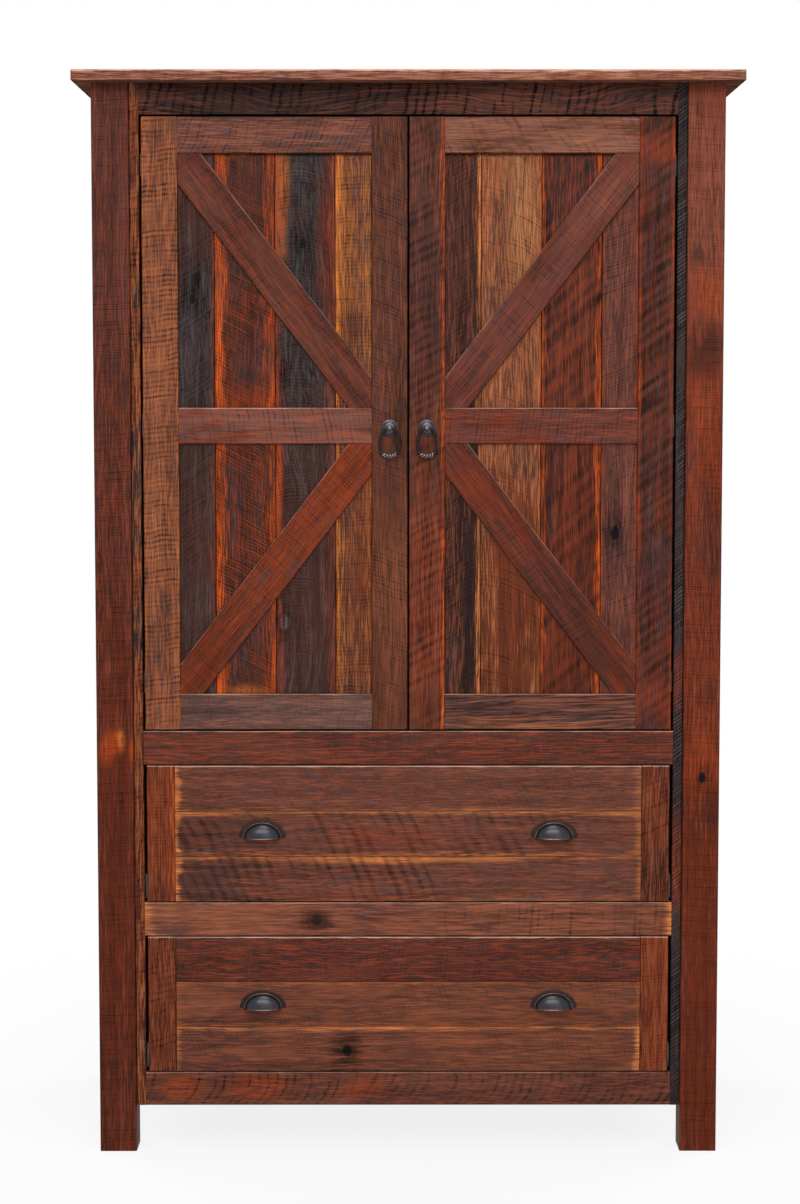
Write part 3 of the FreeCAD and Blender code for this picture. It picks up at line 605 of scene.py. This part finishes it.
# Boards that keep their CAD shape
caseLook = {**tones(tan, honey, chestnut), "cloud": (0.5, 0.8), "streak": 0.3, "sheen": 0.1,
            "fibre": 0.5, "length": 3.0, "marks": 0.05, "raised": 0.05, "seamShade": 0.0, "relief": 0.3}
boxLook = {**caseLook, **tones(honey, tan, tan)}
frameSeeds = {"frame": 401, "brace": 801, "step": 11}
frameLooks = {
    "front_left_post": ("upright", {
        **tones(umber, brick, bark), "pitch": 0.0046, "tilt": 3, "marks": 0.5, "raised": 0.35,
        "streak": 0.5, "fibre": 0.9, "sheen": 0.2, "blots": [
            (0.75, 0.0, 0.25, 0.05, plum, 0.5), (-0.50, 0.0, 0.50, 0.06, garnet, 0.8),
            (-0.222, -0.016, 0.030, 0.014, rust, 0.9), (-0.212, 0.006, 0.020, 0.012, ember, 0.6),
            (-0.207, 0.010, 0.016, 0.006, apricot, 0.6), (-0.228, 0.030, 0.030, 0.005, ember, 0.6)]}),
    "front_right_post": ("upright", {
        **tones(russet, brick, umber), "pitch": 0.0046, "tilt": -3, "marks": 0.4, "raised": 0.25,
        "fibre": 0.9, "sheen": 0.2, "blots": [
            (0.75, 0.0, 0.25, 0.06, clay, 0.55), (0.674, -0.012, 0.016, 0.020, soot, 0.6),
            (0.60, 0.0, 0.05, 0.030, rust, 0.6), (0.50, 0.0, 0.05, 0.030, bark, 0.9),
            (0.36, 0.0, 0.10, 0.040, rust, 0.3), (-0.75, 0.0, 0.40, 0.06, garnet, 0.8),
            (-0.25, 0.0, 0.05, 0.030, rust, 0.5), (-0.34, 0.02, 0.03, 0.02, bark, 0.6),
            (-0.281, 0.003, 0.010, 0.006, coal, 1.0)]}),
    "back_left_post": ("upright", tones(umber, russet, bark)),
    "back_right_post": ("upright", tones(umber, russet, bark)),
    "left_face_stile": ("upright", {
        **tones(russet, tan, soot), "pitch": 0.010, "tilt": 12, "marks": 0.45, "cloud": (0.53, 0.62),
        "sheen": 0.3}),
    "right_face_stile": ("upright", {
        **tones(coal, smoke, soot), "pitch": 0.0058, "tilt": 38, "streak": 0.15, "raised": 0.55,
        "marks": 0.5, "even": 0.8, "relief": 1.2, "blots": [
            (-0.13, 0.0, 0.05, 0.02, rust, 0.4), (-0.50, 0.0, 0.10, 0.02, rust, 0.4)]}),
    "top_face_rail": ("level", {
        **tones(bark, sorrel, coal), "cloud": (0.42, 0.56), "pitch": 0.017, "tilt": 10, "marks": 0.9,
        "wander": 0.10, "length": 2.0, "streak": 0.45, "blots": [
            (-0.25, 0.0, 0.25, 0.05, coal, 0.5), (0.47, 0.0, 0.10, 0.05, walnut, 0.6)]}),
    "middle_face_rail": ("level", {
        **tones(umber, brick, walnut), "tilt": -8, "marks": 0.2, "rimHighlight": 0.9}),
    "drawer_face_rail": ("level", {
        **tones(chestnut, clay, plum), "pitch": 0.012, "tilt": 4, "marks": 0.35, "even": 0.3,
        "zone": (0.28, 0.22), "rimHighlight": 0.8, "glow": apricot, "tips": (0.5, 1.0), "tipWear": 0.012, "blots": [
            (-0.40, 0.0, 0.08, 0.04, tan, 0.3), (-0.169, 0.0, 0.026, 0.020, bark, 0.7),
            (-0.169, 0.0, 0.010, 0.011, soot, 0.8)]}),
    "bottom_face_rail": ("level", {
        **tones(walnut, sorrel, umber), "pitch": 0.015, "tilt": 24, "arc": 7.0, "marks": 0.45,
        "raised": 0.3, "streak": 0.5, "rimHighlight": 0.5, "blots": [
            (-0.42, 0.0, 0.03, 0.02, rust, 0.5), (-0.28, 0.005, 0.04, 0.02, rust, 0.5),
            (-0.08, 0.0, 0.04, 0.02, rust, 0.5)]}),
    "left_door_hinge_stile": ("upright", {
        **tones(chestnut, tan, walnut), "pitch": 0.0090, "tilt": 6, "streak": 0.4, "raised": 0.75,
        "marks": 0.6, "sheen": 0.65, "edges": (0.3, 0.4), "wear": 0.003}),
    "left_door_meeting_stile": ("upright", {
        **tones(umber, chestnut, bark), "pitch": 0.0065, "tilt": -22, "streak": 0.4, "raised": 0.3,
        "blots": [(-0.33, 0.0, 0.26, 0.05, chestnut, 0.7)]}),
    "left_door_top_rail": ("level", {
        **tones(plum, clay, walnut), "sheen": 0.9, "pitch": 0.009, "tilt": 24}),
    "left_door_middle_rail": ("level", {
        **tones(mauve, brick, umber), "sheen": 0.7, "pitch": 0.009, "tilt": -10, "rimHighlight": 0.7}),
    "left_door_bottom_rail": ("level", {
        **tones(ash, clay, walnut), "pitch": 0.009, "tilt": 10, "marks": 0.15, "length": 0.9,
        "sheen": 0.6, "streak": 0.45, "rimHighlight": 0.8, "blots": [(-0.14, 0.0, 0.05, 0.03, soot, 0.4)]}),
    "right_door_hinge_stile": ("upright", {
        **tones(bark, brick, soot), "pitch": 0.018, "tilt": 35, "streak": 0.3, "sheen": 0.75, "raised": 0.4,
        "marks": 0.45, "soft": 0.7, "even": 0.4, "glow": rust, "edges": (0.7, 0.5), "wear": 0.006,
        "blots": [
            (0.50, 0.0, 0.03, 0.06, rust, 0.4), (-0.5, 0.0, 0.04, 0.05, rust, 0.4)]}),
    "right_door_meeting_stile": ("upright", {
        **tones(umber, sorrel, bark), "pitch": 0.016, "tilt": 28, "streak": 0.4, "raised": 0.2,
        "marks": 0.4, "soft": 0.7, "even": 0.4, "glow": ember, "edges": (0, 0.8), "wear": 0.005, "blots": [
            (0.25, 0.0, 0.20, 0.05, soot, 0.35), (-0.33, 0.0, 0.28, 0.05, rust, 0.35)]}),
    "right_door_top_rail": ("level", {
        **tones(mauve, tan, walnut), "pitch": 0.014, "tilt": -30, "marks": 0.4, "fibre": 0.8,
        "streak": 0.45}),
    "right_door_middle_rail": ("level", {
        **tones(plum, brick, russet), "pitch": 0.008, "tilt": 10, "rimHighlight": 0.7}),
    "right_door_bottom_rail": ("level", {
        **tones(soot, clay, bark), "pitch": 0.008, "tilt": 10, "marks": 0.15, "wander": 0.05,
        "length": 2.0, "sheen": 0.9, "fibre": 1.6, "rimHighlight": 0.8, "glow": tan, "edges": (0.5, 0),
        "wear": 0.012}),
    "left_side_boards": ("sideUpright", {
        **tones(umber, chestnut, soot), "row": 4, "pitch": 0.009, "tilt": 20, "marks": 0.2}),
    "right_side_boards": ("sideUpright", {
        **tones(walnut, brick, soot), "row": 4, "pitch": 0.009, "tilt": -20, "marks": 0.2}),
    "left_side_rails": ("sideLevel", tones(plum, brick, umber)),
    "right_side_rails": ("sideLevel", tones(umber, brick, bark)),
    "back_boards": ("upright", {**tones(umber, chestnut, bark), "row": 7, "pitch": 0.009, "tilt": 12,
                                "marks": 0.12, "streak": 0.4, "length": 2.0, "seamShade": 0.8}),
    "left_side_liner": ("sideUpright", caseLook), "right_side_liner": ("sideUpright", caseLook),
    "wardrobe_floor": ("flat", caseLook), "case_bottom": ("flat", caseLook),
    "upper_drawer_box": ("sideLevel", {**boxLook, "sides": 0.014}),
    "lower_drawer_box": ("sideLevel", {**boxLook, "sides": 0.014}),
    "upper_drawer_bottom": ("flat", boxLook), "lower_drawer_bottom": ("flat", boxLook),
    "clothes_rod": ("flat", boxLook),
}

braceSet = {
    "all": {"width": 0.067, "pitch": 0.0050, "tilt": 6, "marks": 0.5, "raised": 0.4, "streak": 0.4,
            "fibre": 0.8, "rimHighlight": 0.35},
    "rising": ("right_door_upper_brace", "left_door_lower_brace"),    # from left to right
    "looks": {
        "left_door_upper_brace": {**tones(umber, brick, walnut), "sheen": 0.3},
        "left_door_lower_brace": {**tones(russet, rust, umber), "wander": 0.06, "sheen": 0.6, "blots": [
            (0.20, 0.0, 0.10, 0.05, rust, 0.25), (-0.20, 0.0, 0.12, 0.05, garnet, 0.5)]},
        "right_door_upper_brace": {**tones(plum, brick, umber), "sheen": 0.3, "blots": [
            (0.22, 0.0, 0.12, 0.05, clay, 0.4)]},
        "right_door_lower_brace": {**tones(umber, brick, russet), "sheen": 0.25, "blots": [
            (0.20, 0.0, 0.14, 0.05, bark, 0.4)]},
    },
}

for i, (node, (lie, look)) in enumerate(frameLooks.items()):
    seed = frameSeeds["frame"] + i * frameSeeds["step"]
    dress(nodes[node], sawnWood(node, *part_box(node), lie, look, seed))

for i, (node, look) in enumerate(braceSet["looks"].items()):
    low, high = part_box(node)
    rise = 1 if node in braceSet["rising"] else -1
    along = Vector((high.x - low.x, 0, rise * (high.z - low.z))).normalized()
    lie = (tuple(along), (-along.z, 0, along.x), (0, -1, 0))
    seed = frameSeeds["brace"] + i * frameSeeds["step"]
    dress(nodes[node], sawnWood(node, low, high, lie, {**braceSet["all"], **look}, seed))
print("frame boards dressed")


# Metals
bronzeSet = {
    "fixed": {"Metallic": 0.85, "Specular IOR Level": 0.4},
    "mottle": ((120, 120, 120), 5), "speck": ((1400, 1400, 1400), 9),    # noise: scale, seed, detail
    "wornFade": (0.45, 0.7), "tone": (0.9, 0.2), "rough": (0.27, 0.03), "bump": 0.000004,
    "tones": {    # main and worn
        "dark": ((54, 53, 57), (58, 56, 60)),
        "black": ((38, 34, 33), (48, 41, 39)),
        "brown": ((44, 34, 32), (58, 44, 41)),
        # lighter bronze for the rosette, painted light standing in for the light on its upper half
        "litGrey": ((66, 62, 66), (84, 79, 82)),
        "rubbed": ((100, 80, 77), (124, 98, 92)),
        # lighter bronze on the ball, painted light standing in for its highlights
        "ball": ((98, 92, 95), (112, 105, 107)),
        # rope crests: partly rubbed wear, partly a painted highlight
        "worn": ((130, 120, 122), (160, 148, 147)),
    },
}
zincSet = {
    "fixed": {"Metallic": 1.0}, "brushed": ((900, 12, 900), 3), "patch": ((40, 40, 40), 6, 3.0),
    "main": stain(142, 142, 140), "dull": stain(118, 118, 116),
    "dullFade": (0.35, 0.7), "rough": (0.28, 0.2, 0.08), "bump": 0.00006,
}


def bronzeFinish(name, main, worn):
    b = bronzeSet
    finish, wire, shader = newFinish(name, b["fixed"])
    spot = wire.add("ShaderNodeTexCoord", out="Object")
    mottle, speck = spot.noise(*b["mottle"]), spot.noise(*b["speck"])
    even, change = b["tone"]
    mottle.step(*b["wornFade"]).between(main, worn).tone(even + speck * change).feed(shader, "Base Color")
    even, change = b["rough"]
    (even + mottle * change).feed(shader, "Roughness")
    addBump(wire, shader, mottle * 0.5 + speck * 0.5, b["bump"])
    return finish


def zincFinish():
    b = zincSet
    finish, wire, shader = newFinish("zinc", b["fixed"])
    spot = wire.add("ShaderNodeTexCoord", out="Object")
    brushed, patch = spot.noise(*b["brushed"]), spot.noise(*b["patch"])
    patch.step(*b["dullFade"]).between(b["main"], b["dull"]).feed(shader, "Base Color")
    even, byBrush, byPatch = b["rough"]
    (even + brushed * byBrush + patch * byPatch).feed(shader, "Roughness")
    addBump(wire, shader, brushed, b["bump"])
    return finish


bronze = {tone: bronzeFinish(tone + "_bronze", stain(*main), stain(*worn))
          for tone, (main, worn) in bronzeSet["tones"].items()}
zinc = zincFinish()
zincNodes = [
    "hinge_arms", "left_door_hinge_cups", "right_door_hinge_cups", "rod_sockets", "slide_outers",
    "upper_drawer_slide_inners", "lower_drawer_slide_inners", "upper_slide_middles", "lower_slide_middles",
]
for node in zincNodes:
    dress(nodes[node], zinc)
print("metals dressed")


def copyPiece(piece, name, shift):
    letGo()
    piece.select_set(True)
    bpy.context.view_layer.objects.active = piece
    bpy.ops.object.duplicate(linked=False)
    twin = bpy.context.object
    twin.location = shift
    return settle(twin, name)


def joinPieces(name, pieces):
    letGo()
    for piece in pieces:
        piece.select_set(True)
    bpy.context.view_layer.objects.active = pieces[0]
    bpy.ops.object.join()
    return settle(bpy.context.object, name)


# cuts the mesh at hand through the origin and drops one side
def cutAway(facing, fill=False):
    openMesh()
    bpy.ops.mesh.bisect(plane_co=(0, 0, 0), plane_no=facing, clear_outer=True, use_fill=fill)
    leaveMesh()


# Cup pulls
cupSet = {
    "halfWidth": 0.0340, "reach": 0.020, "height": 0.0270, "wall": 0.0020, "lip": 0.0009, "flare": 1.03,
    "flangeHalf": 0.043, "flangeHeight": 0.0330, "flangeThick": 0.0022, "flangeEase": 0.0007,
    "bead": 0.0010, "lift": 0.0015, "domeSides": (64, 32), "flangeSides": 96, "beadSides": 12,
    "nearby": 1e-5, "flangeTurn": 50, "smooth": 40,    # turn and smooth in degrees
}


def makeCup():
    c = cupSet
    dome = sphere("cup_dome", c["domeSides"], 1)
    dome.scale = (c["halfWidth"], c["reach"], c["height"])
    settle(dome, "cup_dome")
    cutAway((0, 0, -1))
    cutAway((0, 1, 0))
    pick(dome, lambda co: co.z < c["nearby"])
    bpy.ops.mesh.extrude_region_move(TRANSFORM_OT_translate={"value": (0, 0, -c["lip"])})
    bpy.ops.transform.resize(value=(c["flare"], c["flare"], 1), center_override=(0, 0, 0))
    leaveMesh()
    keepModifier(dome, "SOLIDIFY", thickness=c["wall"], offset=-1)
    dress(dome, bronze["dark"], bronze["rubbed"])
    for face in dome.data.polygons:
        face.material_index = 1 if face.center.z < 0 else 0

    letGo()
    outline = {"vertices": c["flangeSides"], "radius": 1, "rotation": (math.pi / 2, 0, 0)}
    bpy.ops.mesh.primitive_circle_add(**outline)
    flange = bpy.context.object
    flange.scale = (c["flangeHalf"], c["flangeHeight"], 1)
    settle(flange, "cup_flange")
    bpy.ops.object.mode_set(mode="EDIT")
    bpy.ops.mesh.primitive_circle_add(**outline)
    opening = (c["halfWidth"] - c["wall"], 1, c["height"] - c["wall"])
    bpy.ops.transform.resize(value=opening, center_override=(0, 0, 0))
    bpy.ops.mesh.select_all(action="SELECT")
    bpy.ops.mesh.bridge_edge_loops()
    bpy.ops.mesh.select_all(action="SELECT")
    bpy.ops.mesh.extrude_region_move(TRANSFORM_OT_translate={"value": (0, -c["flangeThick"], 0)})
    leaveMesh()
    cutAway((0, 0, -1), fill=True)
    openMesh()
    closeMesh()
    roundEdges(flange, c["flangeEase"], c["flangeTurn"], c["smooth"])
    dress(flange, bronze["brown"])

    letGo()
    bpy.ops.mesh.primitive_torus_add(
        major_radius=c["halfWidth"], minor_radius=c["bead"], major_segments=c["flangeSides"],
        minor_segments=c["beadSides"], rotation=(math.pi / 2, 0, 0))
    bead = settle(bpy.context.object, "cup_bead")
    openMesh()
    bpy.ops.transform.resize(value=(1, 1, c["height"] / c["halfWidth"]), center_override=(0, 0, 0))
    bpy.ops.transform.translate(value=(0, -c["flangeThick"], 0))
    leaveMesh()
    cutAway((0, 0, -1), fill=True)
    dress(bead, bronze["rubbed"])
    cup = joinPieces("cup_pull", [dome, flange, bead])
    bpy.ops.object.shade_smooth_by_angle(angle=math.radians(c["smooth"]))
    return cup


def hangCups():
    cup = makeCup()
    for level in ("upper", "lower"):
        node = level + "_drawer_cup_pulls"
        low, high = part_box(node)
        reach = high.x - cupSet["flangeHalf"]
        for name, x in (("left", -reach), ("right", reach)):
            twin = copyPiece(cup, f"{level}_drawer_{name}_cup", (x, high.y, low.z + cupSet["lift"]))
            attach(twin, level + "_drawer")
            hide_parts(node)
    bpy.data.objects.remove(cup)


hangCups()
print("cup pulls done")

# Ring pulls
ringSet = {
    "rosette": [(0.0155, 0.0), (0.0155, 0.0009), (0.0148, 0.0019), (0.0130, 0.0024), (0.0125, 0.0031),
                (0.0113, 0.0044), (0.0092, 0.0056), (0.0066, 0.0064), (0.0040, 0.0068), (0.0036, 0.0100)],
    "ball": 0.0050, "ballOut": 0.011, "ballDrop": 0.0038,
    "wire": 0.0027, "bar": 0.0016, "shoulder": 0.0125, "bow": 0.055, "width": 0.038, "height": 0.055,
    "gripRadius": 0.0040, "gripWidth": 0.027, "gripSag": 0.005,
    "strands": 3, "strand": 0.0020, "strandOut": 0.0022, "strandSides": 12, "turns": 1.7, "crest": 0.0036,
    "collar": 1.08, "collarOut": 1.02,    # times the grip's radius and half width
    "reach": 1.01,    # times the wire's radius, to find its open end
    "rosetteSides": 48, "ballSides": (40, 24), "collarSides": (24, 14), "wireSides": 20,
    "bendSteps": 10, "ropeSteps": 64, "merge": 0.0002, "weld": 0.00005,
    "mountSmooth": 35, "smooth": 50,    # degrees
}


# disc drawn out along -Y through (radius, height) steps, as on a lathe
def turned(name, profile, sides):
    letGo()
    bpy.ops.mesh.primitive_circle_add(vertices=sides, radius=profile[0][0], fill_type="NGON",
                                      rotation=(math.pi / 2, 0, 0))
    piece = settle(bpy.context.object, name)
    openMesh()
    for (r0, h0), (r1, h1) in zip(profile, profile[1:]):
        bpy.ops.mesh.extrude_region_move(TRANSFORM_OT_translate={"value": (0, h0 - h1, 0)})
        bpy.ops.transform.resize(value=(r1 / r0, 1, r1 / r0), center_override=(0, -h1, 0))
    closeMesh()
    return piece


def makeMount():
    r = ringSet
    rosette = turned("pull_rosette", r["rosette"], r["rosetteSides"])
    ball = sphere("pull_ball", r["ballSides"], r["ball"], (0, -r["ballOut"], 0))
    # the rosette's lighter bronze is painted light from above
    dress(rosette, bronze["litGrey"])
    # the ball's lighter bronze is painted light
    dress(ball, bronze["ball"])
    mount = joinPieces("pull_mount", [rosette, ball])
    bpy.ops.object.shade_smooth_by_angle(angle=math.radians(r["mountSmooth"]))
    return mount


def endLoop(piece, x, z):
    reach = ringSet["reach"] * ringSet["wire"]
    pick(piece, lambda co: (co - Vector((x, 0, z))).length < reach)


# draws the picked end round a centre in the ring's plane
def swing(angle, centre):
    bpy.ops.mesh.spin(steps=ringSet["bendSteps"], angle=angle, center=(centre[0], 0, centre[1]),
                      axis=(0, 1, 0))


def onCircle(centre, radius, angle):
    return centre[0] + radius * math.cos(angle), centre[1] + radius * math.sin(angle)


# one half is drawn from the bar through the ball round to the bottom, then mirrored
def makeRing():
    r = ringSet
    side = r["width"] / 2 - r["wire"]
    grip = r["gripWidth"] / 2
    deep = r["height"] - r["gripRadius"]
    sagBend = (grip ** 2 + r["gripSag"] ** 2) / (2 * r["gripSag"])
    tilt = math.asin(grip / sagBend)
    bend = (side - grip) / (1 - math.sin(tilt))
    shoulder = (r["bar"], -r["shoulder"])
    corner = (grip - bend * math.sin(tilt), r["gripSag"] - deep + bend * math.cos(tilt))
    dx, dz = corner[0] - shoulder[0], corner[1] - shoulder[1]
    gap = math.hypot(dx, dz)    # the side lies on a wide circle that touches both bends
    along = ((r["bow"] - r["shoulder"]) ** 2 - (r["bow"] - bend) ** 2 + gap ** 2) / (2 * gap)
    aside = math.sqrt((r["bow"] - r["shoulder"]) ** 2 - along ** 2)
    wide = (shoulder[0] + (along * dx + aside * dz) / gap,
            shoulder[1] + (along * dz - aside * dx) / gap)
    upper = math.atan2(shoulder[1] - wide[1], shoulder[0] - wide[0])
    lower = math.atan2(corner[1] - wide[1], corner[0] - wide[0])
    start = onCircle(shoulder, r["shoulder"], upper)
    end = onCircle(corner, bend, lower)
    low = tilt - math.pi / 2

    letGo()
    bpy.ops.mesh.primitive_circle_add(vertices=r["wireSides"], radius=r["wire"],
                                      rotation=(0, math.pi / 2, 0))
    hoop = settle(bpy.context.object, "pull_hoop")
    openMesh()
    bpy.ops.mesh.extrude_region_move(TRANSFORM_OT_translate={"value": (r["bar"], 0, 0)})
    endLoop(hoop, r["bar"], 0)
    swing(upper - math.pi / 2, shoulder)
    endLoop(hoop, *start)
    swing(lower - upper, wide)
    endLoop(hoop, *end)
    swing(low - lower, corner)
    endLoop(hoop, grip, r["gripSag"] - deep)
    swing(-tilt, (0, sagBend - deep))
    leaveMesh()
    keepModifier(hoop, "MIRROR", use_axis=(True, False, False), use_clip=True, merge_threshold=r["merge"])
    openMesh()
    bpy.ops.mesh.remove_doubles(threshold=r["weld"])
    closeMesh()
    dress(hoop, bronze["black"])

    strands = []
    for k in range(r["strands"]):
        y, z = onCircle((0, 0), r["strandOut"], 2 * math.pi * k / r["strands"])
        letGo()
        bpy.ops.mesh.primitive_circle_add(vertices=r["strandSides"], radius=r["strand"],
                                          rotation=(0, math.pi / 2, 0), location=(-grip, y, z))
        strands.append(settle(bpy.context.object, "pull_strand"))
    rope = joinPieces("pull_rope", strands)
    keepModifier(rope, "SCREW", axis="X", angle=-2 * math.pi * r["turns"], screw_offset=2 * grip,
                 steps=r["ropeSteps"], render_steps=r["ropeSteps"])
    dress(rope, bronze["black"], bronze["worn"])
    for face in rope.data.polygons:    # bright crests, dark grooves: the crests' light bronze is partly rubbed wear and partly a painted highlight
        face.material_index = 1 if math.hypot(face.center.y, face.center.z) > r["crest"] else 0
    for vertex in rope.data.vertices:    # laid along the sag
        x, y, z = vertex.co
        bent = x / sagBend
        vertex.co = ((sagBend - z) * math.sin(bent), y, sagBend - deep - (sagBend - z) * math.cos(bent))
    openMesh()
    bpy.ops.mesh.fill_holes(sides=r["strandSides"])    # strand ends, inside the collars
    closeMesh()
    collars = []
    for sign in (-1, 1):
        place = (sign * grip * r["collarOut"], 0, r["gripSag"] - deep)
        collars.append(sphere("pull_collar", r["collarSides"], r["gripRadius"] * r["collar"], place))
        dress(collars[-1], bronze["black"])
    ring = joinPieces("pull_ring", [hoop, rope] + collars)
    bpy.ops.object.shade_smooth_by_angle(angle=math.radians(r["smooth"]))
    return ring


def hangRings():
    mount, ring = makeMount(), makeRing()
    for side in ("left", "right"):
        low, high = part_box(side + "_door_pull_mount")
        centre = Vector(((low.x + high.x) / 2, high.y, (low.z + high.z) / 2 - ringSet["ballDrop"]))
        twin = copyPiece(mount, side + "_door_rosette", centre)
        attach(twin, side + "_door")
        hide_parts(side + "_door_pull_mount")
        ball = centre + Vector((0, -ringSet["ballOut"], 0))
        twin = copyPiece(ring, side + "_door_ring", ball)
        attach(twin, side + "_ring")
        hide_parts(side + "_door_pull_ring")
    bpy.data.objects.remove(mount)
    bpy.data.objects.remove(ring)


hangRings()
print("ring pulls done")

# Stage
stageSet = {
    "floorHalf": 30, "floorColour": (0.86, 0.86, 0.86, 1), "floorRough": 0.9, "floorGloss": 0.1,
    "nearWhite": 0.85, "fade": (0.6, 2.0),    # share of white at the part, and where it grows to all white
    "white": (1, 1, 1, 1), "ambient": 0.12,
    "lamps": [    # name, place, aim, size, watts
        ("key", (-0.2, -4.8, 4.4), (0, 0, 0.8), (5.2, 2.6), 202),
        ("fill", (1.2, -5.0, 1.2), (0, 0, 0.6), (4.0, 3.0), 30),
        ("crown", (0, -1.0, 4.6), (0, -0.3, 1.0), (2.0, 2.0), 60),
        ("backLeft", (-3.6, 2.6, 2.8), (0, 0.3, 0.9), (2.6, 2.6), 130),
        ("backRight", (3.6, 2.6, 2.8), (0, 0.3, 0.9), (2.6, 2.6), 130),
    ],
    "camera": {"place": (-0.0229, -5.0934, 1.4264), "pitch": -4.774, "yaw": -0.093, "lens": 79.19,
               "sensor": 36},
}


def seenDirectly(wire):
    path = wire.add("ShaderNodeLightPath").socket.node
    seen = [Wire(wire.tree, path.outputs[name]) for name in
            ("Is Camera Ray", "Is Glossy Ray", "Is Transmission Ray")]
    return wire.math("MAXIMUM", wire.math("MAXIMUM", seen[0], seen[1]), seen[2])


def makeStage():
    letGo()
    bpy.ops.mesh.primitive_plane_add(size=2 * stageSet["floorHalf"], location=(0, 0, 0))
    floor = settle(bpy.context.object, "floor")
    finish, wire, shader = newFinish("floor", {
        "Base Color": stageSet["floorColour"], "Roughness": stageSet["floorRough"],
        "Specular IOR Level": stageSet["floorGloss"]})
    spot = wire.add("ShaderNodeTexCoord", out="Object")
    far = wire.add("ShaderNodeVectorMath", {"operation": "LENGTH"}, {0: spot}, out="Value")
    share = far.step(*stageSet["fade"]).atLeast(stageSet["nearWhite"])
    glow = wire.add("ShaderNodeEmission", None, {"Color": stageSet["white"], "Strength": 1.0})
    mix = wire.add("ShaderNodeMixShader", None, {0: share * seenDirectly(wire), 2: glow})
    wire.tree.links.new(shader.outputs[0], mix.socket.node.inputs[1])
    wire.tree.links.new(mix.socket, wire.tree.nodes["Material Output"].inputs[0])
    dress(floor, finish)

    world = bpy.data.worlds.new("studio")
    bpy.context.scene.world = world
    world.use_nodes = True
    wire = Wire(world.node_tree)
    plain, white = [
        wire.add("ShaderNodeBackground", None, {"Color": stageSet["white"], "Strength": strength})
        for strength in (stageSet["ambient"], 1.0)]
    mix = wire.add("ShaderNodeMixShader", None, {0: seenDirectly(wire), 1: plain, 2: white})
    wire.tree.links.new(mix.socket, world.node_tree.nodes["World Output"].inputs[0])

    for name, place, aim, size, watts in stageSet["lamps"]:
        bpy.ops.object.light_add(type="AREA", location=place)
        light = bpy.context.object
        light.name = name
        light.data.shape = "RECTANGLE"
        light.data.size, light.data.size_y = size
        light.data.energy = watts
        light.rotation_euler = (Vector(aim) - Vector(place)).to_track_quat("-Z", "Y").to_euler()

    shot = stageSet["camera"]
    bpy.ops.object.camera_add(location=shot["place"], rotation=(
        math.radians(90 + shot["pitch"]), 0, math.radians(shot["yaw"])))
    camera = bpy.context.object
    camera.data.lens = shot["lens"]
    camera.data.sensor_width = shot["sensor"]
    bpy.context.scene.camera = camera
    bpy.context.scene.view_settings.view_transform = "Standard"


makeStage()
print("stage done")
